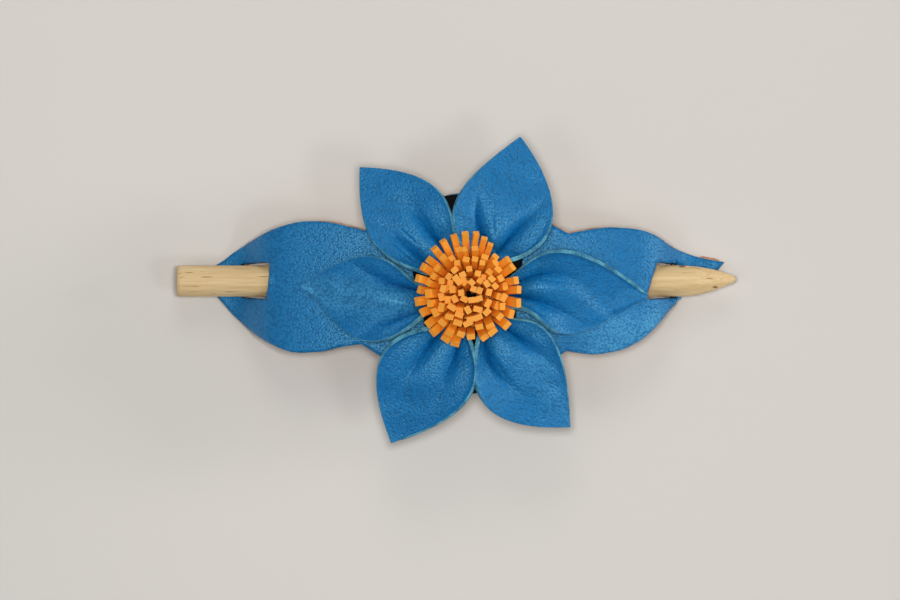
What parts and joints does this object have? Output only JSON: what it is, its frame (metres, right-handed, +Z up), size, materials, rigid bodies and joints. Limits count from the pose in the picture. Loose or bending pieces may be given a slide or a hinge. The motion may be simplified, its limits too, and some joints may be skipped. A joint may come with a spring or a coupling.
{
  "type": "decorative hair slide",
  "caption": "Arched leather hair slide with a pinched-petal leather flower and fringed centre, closed by a pointed wooden stick pushed through two holes.",
  "frame": {"origin": "centre of the bounding box in plan, on the surface that the tips of the slide rest on", "axes": "+X along the stick towards its point, +Y across the slide, +Z up out of the flower"},
  "size_m": [0.1314, 0.0714, 0.0317],
  "materials": {
    "lining_leather": "natural vegetable-tanned leather, flesh side",
    "blue_leather": "dyed full-grain leather, semi-matt with fine pebbled grain",
    "black_leather": "matt black leather",
    "petal_leather": "dyed full-grain leather, semi-matt, lighter raw edge",
    "orange_leather": "dyed leather, matt, raw cut edges",
    "pale_wood": "bare whittled wood, unvarnished"
  },
  "bodies": {
    "slide": {"slide_lining": "lining_leather", "slide_leather": "blue_leather", "flower_backing": "black_leather", "petal_upper_left": "petal_leather", "petal_upper_right": "petal_leather", "petal_right": "petal_leather", "petal_lower_right": "petal_leather", "petal_lower_left": "petal_leather", "petal_left": "petal_leather", "fringe_centre": "orange_leather"},
    "stick": {"stick": "pale_wood"}
  },
  "joints": [
    {"name": "stick_slide", "type": "slide", "parent": "slide", "child": "stick", "axis": [1, 0, 0], "range_m": [-0.126, 0.012]}
  ]
}
